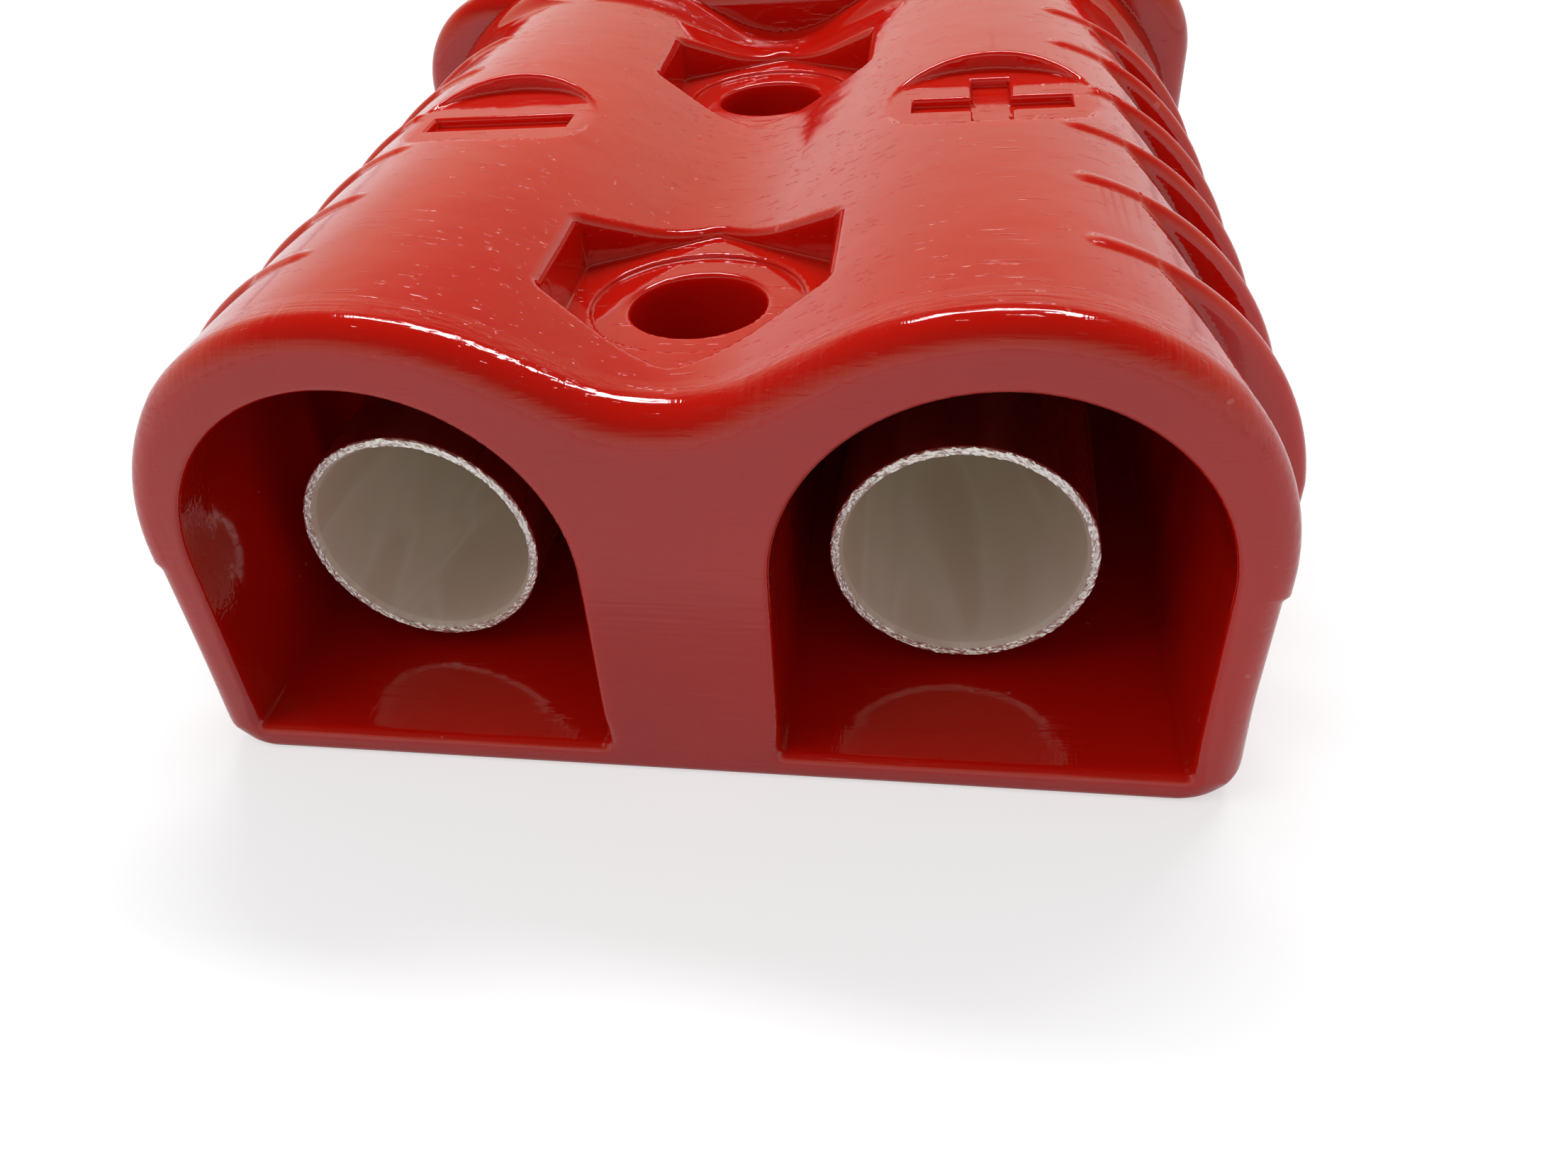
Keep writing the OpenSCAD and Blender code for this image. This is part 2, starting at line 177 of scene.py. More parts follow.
class ContactSizes(PropertyGroup):
    """Sizes of the two contacts, which are alike."""

    barrel_radius: size("Barrel radius", "Outside radius of a wire barrel", 6.35)
    bore_radius: size("Bore radius", "Radius of its bore", 5.75)
    barrel_inset: size("Barrel inset", "Distance from the cable end to the barrel's mouth", 6.7)
    barrel_depth: size("Bore depth", "Depth of the bore", 18.0)
    neck_length: size("Neck length", "Length of the swaged neck", 7.0)
    neck_step: size("Neck step", "Step down from barrel to neck", 0.3)
    barrel_drop: size("Barrel drop", "Drop from the blade to the barrel's axis", 1.0)
    blade_width: size("Blade width", "Width of a blade", 14.4)
    blade_thickness: size("Blade thickness", "Thickness of a blade", 3.0)
    nose_inset: size("Nose inset", "Distance from the mating end to a blade's nose", 1.0)
    nose_radius: size("Nose radius", "Inner radius of the curled noses", 1.0)
    lean_negative: angle("Lean, negative", "Upward lean of the loose negative contact", 1.1)
    lean_positive: angle("Lean, positive", "Upward lean of the loose positive contact", 1.25)
    lean_side: angle("Side lean", "Sideways lean of both contacts", 1.4)


class Colours(PropertyGroup):
    """Colours of the finishes."""

    red: colour("Housing", "Glossy red polycarbonate", (0.56, 0.007, 0.002))
    silver: colour("Contacts", "Silver-plated copper", (0.62, 0.58, 0.53))
    bore: colour("Bore", "Dull plating in the bores", (0.98, 0.87, 0.72))
    sawn: colour("Sawn mouth", "Bright sawn edge of the barrels", (0.98, 0.97, 0.95))
    steel: colour("Springs", "Stainless spring strip", (0.56, 0.56, 0.55))
    floor: colour("Floor", "Pale floor", (0.5, 0.5, 0.5))


def in_mm(group):
    """The group's lengths in millimetres, and its other values as they are."""
    values = {}
    for name, prop in group.bl_rna.properties.items():
        if prop.type in {"FLOAT", "INT"}:
            value = getattr(group, name)
            values[name] = value / MM if prop.type == "FLOAT" and prop.unit == "LENGTH" else value
    return SimpleNamespace(**values)


# Signed distances: below zero inside the solid, above it outside


def smooth(t):
    """Smooth step: 0 below 0, 1 above 1, and t squared times (3 - 2t) between."""
    t = np.clip(t, 0.0, 1.0)
    return t * t * (3.0 - 2.0 * t)


def both(a, b, r):
    """What lies in a and in b, its edge rounded by a quarter circle about the sunk corner.

    The radius r is a number, or an array where the rounding changes from place to place.
    """
    u = np.maximum(a + r, 0.0)
    v = np.maximum(b + r, 0.0)
    return np.minimum(np.maximum(a, b), -r) + np.sqrt(u * u + v * v)


def either(a, b, r):
    """What lies in a or in b, the corner between them filled to radius r."""
    return -both(-a, -b, r)


def without(a, b, r):
    """What lies in a and not in b, with the edge of the cut rounded to radius r."""
    return both(a, -b, r)


def housing_sizes():
    """The housing's sizes in millimetres, with what follows from them."""
    d = in_mm(bpy.context.scene.connector_housing)
    c = in_mm(bpy.context.scene.connector_contacts)
    d.rear_y, d.front_y = housing_low.y / MM, housing_high.y / MM
    d.height = housing_high.z / MM
    d.hood_x = housing_high.x / MM
    d.hood_y = d.front_y - d.hood_length
    d.mating_z = d.height / 2
    d.valley_z = d.height - d.valley_drop
    rise, run = math.sin(d.flank_slope), math.cos(d.flank_slope)
    d.crest_radius = (d.pole_x * rise - d.valley_drop * run) / (1.0 - run) - d.valley_radius
    d.crest_z = d.height - d.crest_radius
    link = d.crest_radius - d.shoulder_radius
    d.shoulder_angle = math.asin((d.side_x - d.shoulder_radius - d.pole_x) / link)
    d.shoulder_x = d.pole_x + link * math.sin(d.shoulder_angle)
    d.shoulder_z = d.crest_z + link * math.cos(d.shoulder_angle)
    d.rib_y = d.rear_y + d.rib_inset
    d.entry_end = d.rear_y + d.entry_depth
    d.tongue_top = d.mating_z - c.blade_thickness - d.spring_gap
    d.tongue_end = d.front_y - c.nose_inset - c.nose_radius - c.blade_thickness - d.clearance
    d.chamber_x = d.hood_x - d.hood_side
    return d


def hump_outline(d, ax, z):
    """Distance from the body's outline, and the turn round its shoulder from upright, in radians.

    A hollow arc, a straight flank, a crest arc and a shoulder arc meet on the lines through their
    centres; the side below them steps in at the parting line.
    """
    hump = np.arctan2(ax - d.pole_x, z - d.crest_z)
    dip = np.arctan2(ax, d.valley_z + d.valley_radius - z)
    turn = np.arctan2(ax - d.shoulder_x, z - d.shoulder_z)
    valley = d.valley_radius - np.hypot(ax, z - d.valley_z - d.valley_radius)
    rise, run = math.sin(d.flank_slope), math.cos(d.flank_slope)
    flank = (z - d.crest_z) * run - (ax - d.pole_x) * rise - d.crest_radius
    crest = np.hypot(ax - d.pole_x, z - d.crest_z) - d.crest_radius
    shoulder = np.hypot(ax - d.shoulder_x, z - d.shoulder_z) - d.shoulder_radius
    below = np.clip((d.parting_height - z) / d.parting_height, 0.0, 1.0)
    low_x = d.side_x - d.parting_step - d.side_draft * below
    side = both(ax - d.side_x, either(ax - low_x, d.parting_height - z, 0.08), 0.12)
    skin = np.where(z > d.shoulder_z, shoulder, side)
    skin = np.where(hump < d.shoulder_angle, crest, skin)
    skin = np.where(hump < -d.flank_slope, np.where(dip < d.flank_slope, valley, flank), skin)
    turn = np.where(hump < d.shoulder_angle, 0.0, np.clip(turn, 0.0, math.pi / 2))
    return skin, turn


def bay_table(d):
    """Lengthwise course of the bays between the ribs: places, depths and the turn where each starts."""
    deep, shallow = (d.scoop_depth, DEEP_BAY_TURN), (d.scoop_end, SHALLOW_BAY_TURN)
    places, depths, starts = [d.rear_y], [0.0], [FIRST_BAY_TURN]
    for i in range(d.rib_count):
        y = d.rib_y + i * d.rib_pitch
        for place, (depth, start) in ((y - 0.05, deep), (y + 0.05, shallow)):
            places.append(place)
            depths.append(depth)
            starts.append(start)
    places += [d.hood_y - 2 * d.ramp_length, d.hood_y - d.ramp_length, d.hood_y]
    depths += [d.scoop_depth, d.scoop_end, 0.0]
    starts += RAMP_BAY_TURNS
    return places, depths, starts


def body_distance(d, ax, y, z):
    """Body with its ribs and bays.

    Outline, less a ramp's swell, plus the bays: depth(y) times the sine of the turn past the bay's
    start. A rib is a bead round the outline: a circle of the bead's radius, drawn out inwards.
    """
    skin, turn = hump_outline(d, ax, z)
    skin = skin - d.ramp_rise * smooth((y - d.hood_y + d.ramp_length) / d.ramp_length)
    fade = smooth(z / (0.55 * d.parting_height) - 0.1)
    places, depths, starts = bay_table(d)
    start = np.radians(np.interp(y, places, starts))
    past = np.clip((turn - start) / (math.pi / 2 - start), 0.0, 1.0)
    body = skin + np.interp(y, places, depths) * np.sin(past * math.pi / 2) ** 0.85 * fade
    tip = smooth((np.degrees(turn) - RIB_TIP_TURN) / RIB_TIP_LENGTH)
    swollen = np.clip((np.degrees(turn) - RIB_SWELL_TURN) / (90.0 - RIB_SWELL_TURN), 0.0, 1.0)
    swell = 1.0 - np.cos(swollen * math.pi / 2)
    rise = (d.rib_rise * swell + RIB_START + RIB_SUNK) * tip * fade - RIB_SUNK
    rib = np.clip(np.round((y - d.rib_y) / d.rib_pitch), 0, d.rib_count - 1)
    along = y - d.rib_y - rib * d.rib_pitch
    out = np.maximum(skin - rise + d.rib_bead, 0.0)
    bead = np.sqrt(out * out + along * along) - d.rib_bead
    body = either(body, bead, 0.3)
    low_x = d.side_x - d.parting_step - d.side_draft
    bevel = (ax - low_x - (z - d.bottom_bevel)) * math.sqrt(0.5)
    body = both(body, bevel, 0.8)
    rim = d.rim_radius + VALLEY_RIM * (1.0 - smooth(ax / d.pole_x))
    body = both(body, d.rear_y - y, rim)
    body = both(body, -z, BOTTOM_EDGE)
    return np.maximum(np.maximum(body, z - d.height), y - d.hood_y - d.hood_edge)


def hood_distance(d, ax, y, z):
    """Hood: a box with round upper corners, a round rear edge and an open underside."""
    u = ax - d.hood_x + d.hood_corner
    w = z - d.height + d.hood_corner
    round_box = np.hypot(np.maximum(u, 0.0), np.maximum(w, 0.0)) + np.minimum(np.maximum(u, w), 0.0)
    hood = both(round_box - d.hood_corner, d.hood_y - y, d.hood_edge)
    return both(both(hood, y - d.front_y, 0.5), d.mating_z - z, d.edge_radius)


def hexagon(x, y, half):
    """Distance from a hexagon with flats across x: the largest of three slab distances."""
    slant = y * math.sin(math.pi / 3)
    first = both(np.abs(x) - half, np.abs(0.5 * x + slant) - half, 0.25)
    return both(first, np.abs(0.5 * x - slant) - half, 0.25)


def housing_distance(d, x, y, z):
    """The whole housing: body and hood, less the mate's space, plus the tongues, less every opening."""
    ax = np.abs(x)
    pole = np.abs(ax - d.pole_x)
    solid = np.minimum(body_distance(d, ax, y, z), hood_distance(d, ax, y, z))
    solid = without(solid, np.maximum(d.hood_y - y, z - d.mating_z), 0.25)

    # Chamber for the mate's tongue
    chamber_half = (d.chamber_x - d.web_half - 0.2) / 2
    chamber_mid = (d.chamber_x + d.web_half + 0.2) / 2
    chamber = both(np.abs(ax - chamber_mid) - chamber_half, z - d.height + d.roof, 1.0)
    solid = without(solid, both(chamber, d.hood_y + d.clearance - y, 0.4), d.edge_radius)

    # Tongue with its channel
    inner = d.web_half + d.clearance + 0.2
    outer = d.chamber_x - d.clearance
    beside = np.abs(ax - (inner + outer) / 2) - (outer - inner) / 2
    block = both(beside, z - d.tongue_top - d.rail, d.edge_radius)
    block = both(block, d.tongue_top - d.tongue - z, d.edge_radius)
    block = both(block, np.maximum(y - d.tongue_end, d.hood_y - 1.0 - y), d.edge_radius)
    block = without(block, both(pole - d.channel_half, d.tongue_top - z, 0.2), 0.2)
    solid = np.minimum(solid, block)

    # Cable entry: a dome over a box, with a rounded lip that is softest at its floor
    dome = np.hypot(pole, z - d.entry_height) - d.entry_radius
    box = both(pole - d.entry_radius, d.entry_floor - z, 0.3)
    entry = np.where(z > d.entry_height, dome, box)
    entry = both(entry, y - d.entry_end, 0.5)
    lip = LIP_RADIUS * (2.0 - smooth((z - d.entry_floor - 0.5) / 2.0))
    solid = without(solid, entry, lip)

    # Passage of the blade
    passage = np.maximum(pole - d.channel_half, np.maximum(d.entry_end - 1.0 - y, y - d.hood_y - 1.0))
    passage = np.maximum(passage, np.maximum(d.tongue_top - z, z - d.mating_z - 1.3))
    solid = without(solid, passage, 0.15)

    # Mounting holes with their hexagonal pockets and washer seats
    hole_y = d.rear_y + d.hole_inset
    along = np.where(y < hole_y + d.hole_pitch / 2, y - hole_y, y - hole_y - d.hole_pitch)
    floor = d.valley_z - d.nut_depth
    pocket = hexagon(x, along, d.nut_half + 0.06 * (z - floor))
    solid = without(solid, both(pocket, floor - z, 0.15), 0.4)
    radius = np.hypot(x, along)
    solid = without(solid, both(radius - d.seat_radius, floor - d.seat_depth - z, 0.08), 0.1)
    solid = without(solid, radius - d.hole_radius, 0.25)

    # Polarity marks: a sunk disc with a minus or a plus
    mark_y = y - d.rear_y - d.mark_inset
    mark_x = ax - d.mark_x
    mark_z = d.height - d.mark_depth
    solid = without(solid, both(np.hypot(mark_x, mark_y) - d.mark_radius, mark_z - z, 0.15), 0.22)
    bar = np.maximum(np.abs(mark_x) - d.bar_half, np.abs(mark_y) - d.bar_width)
    cross = np.maximum(np.abs(mark_y) - d.bar_half, np.abs(mark_x) - d.bar_width)
    sign = np.where(x > 0.0, np.minimum(bar, cross), bar)
    return without(solid, both(sign, mark_z - d.bar_depth - z, 0.12), 0.15)


# From a distance to a mesh


def steps(stretches):
    """Places along one axis: each stretch (start, end, step) is divided evenly."""
    parts = [np.linspace(a, b, max(2, int(round((b - a) / s)) + 1))[:-1] for a, b, s in stretches]
    return np.concatenate(parts + [[stretches[-1][1]]])


def grid_values(function, xs, ys, zs):
    """The function on the whole grid, worked out in slices along y to spare memory."""
    values = np.empty((len(xs), len(ys), len(zs)), np.float32)
    x, z = xs[:, None, None].astype(np.float32), zs[None, None, :].astype(np.float32)
    for part in np.array_split(np.arange(len(ys)), max(1, len(ys) // 24)):
        values[:, part, :] = function(x, ys[part][None, :, None].astype(np.float32), z)
    return values


CORNERS = np.array([[i, j, k] for i in (0, 1) for j in (0, 1) for k in (0, 1)])
EDGES = [(a, b) for a in range(8) for b in range(a + 1, 8) if np.abs(CORNERS[a] - CORNERS[b]).sum() == 1]


def surface_net(values, xs, ys, zs):
    """Vertices and quads of the zero surface.

    Each cell that the surface crosses gets one vertex, the mean of the crossings of its edges, and
    each crossed grid edge gets the quad of the four cells round it, turned to face outwards.
    """
    inside = values < 0.0
    shape = np.array(values.shape) - 1
    window = [slice(0, -1), slice(1, None)]
    count = sum(inside[window[i], window[j], window[k]].astype(np.int8) for i, j, k in CORNERS)
    cells = np.argwhere((count > 0) & (count < 8))
    number = np.full(shape, -1, np.int64)
    number[tuple(cells.T)] = np.arange(len(cells))
    corner = np.stack([values[tuple((cells + c).T)] for c in CORNERS], 1)
    total, crossings = np.zeros((len(cells), 3)), np.zeros(len(cells))
    for a, b in EDGES:
        va, vb = corner[:, a], corner[:, b]
        crossed = (va < 0) != (vb < 0)
        t = np.where(crossed, va / np.where(crossed, va - vb, 1.0), 0.0)
        place = CORNERS[a] + t[:, None] * (CORNERS[b] - CORNERS[a])
        total += place * crossed[:, None]
        crossings += crossed
    index = cells + total / crossings[:, None]
    axes = (xs, ys, zs)
    points = np.stack([np.interp(index[:, k], np.arange(len(axes[k])), axes[k]) for k in range(3)], 1)
    quads = []
    for axis in range(3):
        first, second = (axis + 1) % 3, (axis + 2) % 3
        low = np.take(inside, np.arange(shape[axis]), axis)
        high = np.take(inside, np.arange(1, shape[axis] + 1), axis)
        edges = np.argwhere(low != high)
        edges = edges[(edges[:, first] > 0) & (edges[:, second] > 0)]
        edges = edges[(edges[:, first] < shape[first]) & (edges[:, second] < shape[second])]
        outward = low[tuple(edges.T)]
        ring = []
        for a, b in ((1, 1), (0, 1), (0, 0), (1, 0)):
            cell = edges.copy()
            cell[:, first] -= a
            cell[:, second] -= b
            ring.append(number[tuple(cell.T)])
        ring = np.stack(ring, 1)
        quads.append(np.where(outward[:, None], ring, ring[:, ::-1]))
    return points, np.concatenate(quads)


def slope(function, points, step=0.01):
    """Gradient of the function by central differences."""
    rows = []
    for k in range(3):
        shift = np.zeros(3)
        shift[k] = step
        rows.append((function(*(points + shift).T) - function(*(points - shift).T)) / (2 * step))
    return np.stack(rows, 1)


def settle(function, points, rounds=3, reach=0.3):
    """Moves points onto the zero surface by Newton's steps along the gradient, none longer than reach."""
    for _ in range(rounds):
        g = slope(function, points)
        move = function(*points.T) / np.maximum((g * g).sum(1), 0.05)
        length = np.abs(move) * np.sqrt((g * g).sum(1))
        points = points - g * (move * np.minimum(1.0, reach / np.maximum(length, 1e-9)))[:, None]
    return points


# Meshes, materials and nodes


def make_mesh(name, points, faces):
    """A mesh from an array of points in millimetres and an array of triangles or quads."""
    mesh = bpy.data.meshes.new(name)
    sides = faces.shape[1]
    mesh.vertices.add(len(points))
    mesh.vertices.foreach_set("co", (points * MM).astype(np.float32).ravel())
    mesh.loops.add(faces.size)
    mesh.loops.foreach_set("vertex_index", faces.astype(np.int32).ravel())
    mesh.polygons.add(len(faces))
    mesh.polygons.foreach_set("loop_start", np.arange(0, faces.size, sides, dtype=np.int32))
    mesh.update(calc_edges=True)
    mesh.validate()
    mesh.shade_smooth()
    return mesh


def add_piece(name, mesh, material, replaces=()):
    """Shows a mesh as a piece that rides on the connector's only body."""
    piece = bpy.data.objects.new(name, mesh)
    bpy.context.scene.collection.objects.link(piece)
    mesh.materials.clear()
    mesh.materials.append(material)
    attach(piece, "root")
    if replaces:
        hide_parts(*replaces)
    return piece


def vertex_array(mesh):
    """The mesh's points in millimetres."""
    co = np.empty(len(mesh.vertices) * 3, np.float32)
    mesh.vertices.foreach_get("co", co)
    return co.reshape(-1, 3).astype(float) / MM


class Finish:
    """A material under construction, with short ways to add and link nodes."""

    def __init__(self, name):
        self.material = bpy.data.materials.new(name)
        self.material.use_nodes = True
        self.tree = self.material.node_tree
        self.shader = self.tree.nodes["Principled BSDF"]
        self.place = self.add("ShaderNodeTexCoord").outputs["Object"]

    def add(self, kind, inputs=(), **settings):
        """A node with these settings and inputs; an input is a value or another node's output."""
        node = self.tree.nodes.new(kind)
        for key, value in settings.items():
            setattr(node, key, value)
        for key, value in dict(inputs).items():
            if isinstance(value, bpy.types.NodeSocket):
                self.tree.links.new(value, node.inputs[key])
            else:
                node.inputs[key].default_value = value
        return node

    def math(self, operation, a, b=0.0, clamp=False):
        """Arithmetic on two values."""
        return self.add("ShaderNodeMath", {0: a, 1: b}, operation=operation, use_clamp=clamp).outputs[0]

    def stretched(self, scale, offset=(0.0, 0.0, 0.0), turn=(0.0, 0.0, 0.0)):
        """Object coordinates, scaled for a pattern."""
        return self.add(
            "ShaderNodeMapping", {"Vector": self.place, "Scale": scale, "Location": offset, "Rotation": turn}
        ).outputs[0]

    def noise(self, scale, detail=2.0, rough=0.5, vector=None, distortion=0.0):
        """Cloudy noise from 0 to 1; scale is per metre."""
        inputs = {
            "Vector": vector or self.place,
            "Scale": scale,
            "Detail": detail,
            "Roughness": rough,
            "Distortion": distortion,
        }
        return self.add("ShaderNodeTexNoise", inputs).outputs["Fac"]

    def ramp(self, value, low, high, to_low=0.0, to_high=1.0):
        """Maps low..high to to_low..to_high, clamped."""
        return self.add(
            "ShaderNodeMapRange",
            {"Value": value, "From Min": low, "From Max": high, "To Min": to_low, "To Max": to_high},
        ).outputs[0]

    def mix(self, share, a, b):
        """Mix of two colours."""
        node = self.add("ShaderNodeMix", data_type="RGBA")
        for socket, value in ((node.inputs[0], share), (node.inputs[6], a), (node.inputs[7], b)):
            if isinstance(value, bpy.types.NodeSocket):
                self.tree.links.new(value, socket)
            else:
                socket.default_value = value
        return node.outputs[2]

    def bump(self, height, distance, strength=1.0, under=None):
        """Bump normal from a height; distance is in metres."""
        inputs = {"Height": height, "Distance": distance, "Strength": strength}
        if under is not None:
            inputs["Normal"] = under
        return self.add("ShaderNodeBump", inputs).outputs[0]

    def set(self, **values):
        """Sets or links the shader's sockets, named with _ for a space."""
        for key, value in values.items():
            socket = self.shader.inputs[key.replace("_", " ")]
            if isinstance(value, bpy.types.NodeSocket):
                self.tree.links.new(value, socket)
            else:
                socket.default_value = value


def rgba(rgb, times=1.0):
    """A colour with full opacity, its brightness changed by a factor."""
    return tuple(min(1.0, c * times) for c in rgb) + (1.0,)


def red_plastic():
    """Glossy moulded polycarbonate that lets a little light through.

    Faint flow clouds, soft waves in the gloss, fine scratches and specks, and a combed and filed rim.
    """
    red = bpy.context.scene.connector_colours.red
    f = Finish("red_polycarbonate")
    clouds = f.noise(60.0, 3.0, 0.55, f.stretched((1.0, 0.35, 1.0)))
    base = f.mix(f.ramp(clouds, 0.3, 0.7), rgba(red, 0.92), rgba(red, 1.06))
    specks = f.ramp(f.noise(1400.0, 1.0, 0.4), 0.79, 0.82)
    base = f.mix(f.math("MULTIPLY", specks, 0.25), base, (0.75, 0.35, 0.3, 1.0))
    fine = f.noise(3500.0, 2.0, 0.6, f.stretched((0.12, 1.0, 1.0), turn=(0.0, 0.0, 0.5)))
    scratches = f.ramp(fine, 0.64, 0.7)
    rough = f.math("ADD", f.ramp(clouds, 0.3, 0.7, 0.06, 0.11), f.math("MULTIPLY", scratches, 0.1))
    place = f.add("ShaderNodeSeparateXYZ", {0: f.place}).outputs
    waves = f.bump(f.noise(260.0, 2.0, 0.5), 0.00012, 0.35)
    scored = f.bump(scratches, 0.000015, 0.5, waves)
    rear = housing_low.y
    rim = f.ramp(place["Y"], rear + 0.0022, rear + 0.003, 1.0, 0.0)
    combed = f.noise(2800.0, 2.0, 0.6, f.stretched((1.0, 0.1, 0.1)))
    filed = f.noise(3600.0, 1.0, 0.5, f.stretched((0.06, 1.0, 1.0)))
    rippled = f.bump(f.math("MULTIPLY", f.math("ADD", combed, filed), rim), 0.00002, 1.0, scored)
    f.set(Base_Color=base, Roughness=rough, Normal=rippled, IOR=1.585)
    f.set(Subsurface_Weight=0.5, Subsurface_Scale=0.0025, Subsurface_Radius=(1.0, 0.12, 0.08))
    return f.material


def drawn_metal(name, rgb, rough_low, rough_high):
    """Satin drawn metal: streaks along the part, fine grain and cloudy tarnish."""
    f = Finish(name)
    streaks = f.noise(420.0, 3.0, 0.6, f.stretched((1.0, 0.05, 1.0)))
    tarnish = f.noise(110.0, 3.0, 0.6)
    tarnished = rgba((rgb[0] * 0.8, rgb[1] * 0.75, rgb[2] * 0.68))
    base = f.mix(f.ramp(tarnish, 0.35, 0.7), rgba(rgb), tarnished)
    base = f.mix(f.ramp(streaks, 0.4, 0.75, 0.0, 0.5), base, rgba(rgb, 1.2))
    grain = f.noise(2600.0, 2.0, 0.6)
    relief = f.bump(f.math("ADD", streaks, f.math("MULTIPLY", grain, 0.25)), 0.00003, 0.4)
    rough = f.ramp(streaks, 0.3, 0.7, rough_low, rough_high)
    f.set(Base_Color=base, Metallic=1.0, Roughness=rough, Normal=relief)
    return f


def plated_metal():
    """Silver plating: drawn outside, dull in the bore with painted caustic light in swirled streaks, bright and torn
    on the sawn mouth.
    """
    colours = bpy.context.scene.connector_colours
    f = drawn_metal("silver_plating", colours.silver, 0.22, 0.4)
    drawn = f.shader.inputs["Base Color"].links[0].from_socket
    drawn_rough = f.shader.inputs["Roughness"].links[0].from_socket
    drawn_relief = f.shader.inputs["Normal"].links[0].from_socket
    bore = f.add("ShaderNodeAttribute", attribute_name="bore").outputs["Fac"]
    sawn = f.add("ShaderNodeAttribute", attribute_name="sawn").outputs["Fac"]
    # Painted caustic light in the bore: swirled soft bands and thin bright lines lighten the plating's colour towards
    # near white
    caustic_swirls = f.noise(120.0, 1.0, 0.4, f.stretched((1.0, 0.22, 1.0)), 1.8)
    caustic_lines = f.ramp(f.math("ABSOLUTE", f.math("SUBTRACT", caustic_swirls, 0.5)), 0.0, 0.07, 1.0, 0.0)
    caustic_light = f.math("ADD", f.ramp(caustic_swirls, 0.35, 0.7, 0.0, 0.6), f.math("MULTIPLY", caustic_lines, 0.4))
    dull = f.mix(caustic_light, rgba(colours.bore, 0.9), rgba((1.0, 0.96, 0.86)))
    torn = f.noise(4200.0, 2.0, 0.6)
    bright = f.mix(f.ramp(torn, 0.35, 0.65), rgba(colours.sawn, 0.85), rgba(colours.sawn))
    f.set(
        # In the bore the colour is the dull plating with the painted caustic light mixed in
        Base_Color=f.mix(sawn, f.mix(bore, drawn, dull), bright),
        Metallic=f.math("SUBTRACT", 1.0, f.math("MULTIPLY", bore, 0.9)),
        Roughness=f.math("MAXIMUM", drawn_rough, f.math("MULTIPLY", f.math("MAXIMUM", bore, sawn), 0.48)),
        Normal=f.bump(f.math("MULTIPLY", torn, sawn), 0.00006, 1.0, drawn_relief),
    )
    return f.material


def pale_floor():
    """Pale matt floor that keeps the connector's shadow; it looks white to the camera and in gloss."""
    f = Finish("pale_floor")
    f.set(Base_Color=rgba(bpy.context.scene.connector_colours.floor), Roughness=0.9)
    f.shader.inputs["Specular IOR Level"].default_value = 0.0
    rays = f.add("ShaderNodeLightPath")
    mirrored = f.math("MAXIMUM", rays.outputs["Is Glossy Ray"], rays.outputs["Is Transmission Ray"])
    seen = f.math("MULTIPLY", rays.outputs["Is Camera Ray"], FLOOR_SEEN)
    glow = f.add("ShaderNodeEmission", {"Strength": f.math("ADD", seen, f.math("MULTIPLY", mirrored, FLOOR_MIRRORED))})
    total = f.add("ShaderNodeAddShader", {0: f.shader.outputs[0], 1: glow.outputs[0]})
    f.tree.links.new(total.outputs[0], f.tree.nodes["Material Output"].inputs["Surface"])
    return f.material


class CONNECTOR_OT_housing(Operator):
    """Build the moulded housing from its signed distance"""

    bl_idname = "connector.housing"
    bl_label = "Housing"
    bl_options = {"REGISTER", "UNDO"}

    triangles: IntProperty(name="Triangles", description="Most triangles of the finished mesh", default=190000)

    def execute(self, context):
        d = housing_sizes()

        def distance(x, y, z):
            return housing_distance(d, x, y, z)

        coarse = 1.0
        rear, hood, front = d.rear_y, d.hood_y, d.front_y
        stretches = [
            (rear - 0.35, rear + 2.05, 0.12),
            (rear + 2.05, d.entry_end + 1.0, CELL),
            (d.entry_end + 1.0, hood + 3.5, 0.2),
            (hood + 3.5, d.tongue_end - 1.0, 0.55),
            (d.tongue_end - 1.0, d.tongue_end + 0.6, 0.2),
            (d.tongue_end + 0.6, front - 0.9, 0.55),
            (front - 0.9, front + 0.33, 0.18),
        ]
        ys = steps([(a, b, s * coarse) for a, b, s in stretches])
        half = steps([(0.011, d.hood_x + 0.33, CELL * coarse)])
        xs = np.concatenate([-half[::-1], half])
        zs = steps(
            [
                (-0.31, 2.6, 0.16 * coarse),
                (2.6, d.parting_height - 0.7, 0.26 * coarse),
                (d.parting_height - 0.7, d.parting_height + 0.5, 0.1 * coarse),
                (d.parting_height + 0.5, d.valley_z - 1.0, 0.24 * coarse),
                (d.valley_z - 1.0, d.height + 0.29, 0.16 * coarse),
            ]
        )
        points, quads = surface_net(grid_values(distance, xs, ys, zs), xs, ys, zs)
        points = settle(distance, points, rounds=2)
        rough = bpy.data.objects.new("housing_rough", make_mesh("housing_rough", points, quads))
        context.scene.collection.objects.link(rough)
        thin = rough.modifiers.new("thin", "DECIMATE")
        thin.ratio = min(1.0, self.triangles / (2.0 * len(quads)))
        mesh = bpy.data.meshes.new_from_object(rough.evaluated_get(context.evaluated_depsgraph_get()))
        bpy.data.objects.remove(rough)
        points = settle(distance, vertex_array(mesh), rounds=3, reach=0.1)
        low, high = np.array(housing_low) / MM, np.array(housing_high) / MM
        points = np.clip(points, low, high)
        mesh.vertices.foreach_set("co", (points * MM).astype(np.float32).ravel())
        mesh.update()
        mesh.shade_smooth()
        g = slope(distance, points)
        g /= np.maximum(np.linalg.norm(g, axis=1), 1e-9)[:, None]
        mesh.normals_split_custom_set_from_vertices(g.tolist())
        mesh.name = "housing_shell"
        add_piece("housing_shell", mesh, red_plastic(), ["housing"])
        return {"FINISHED"}


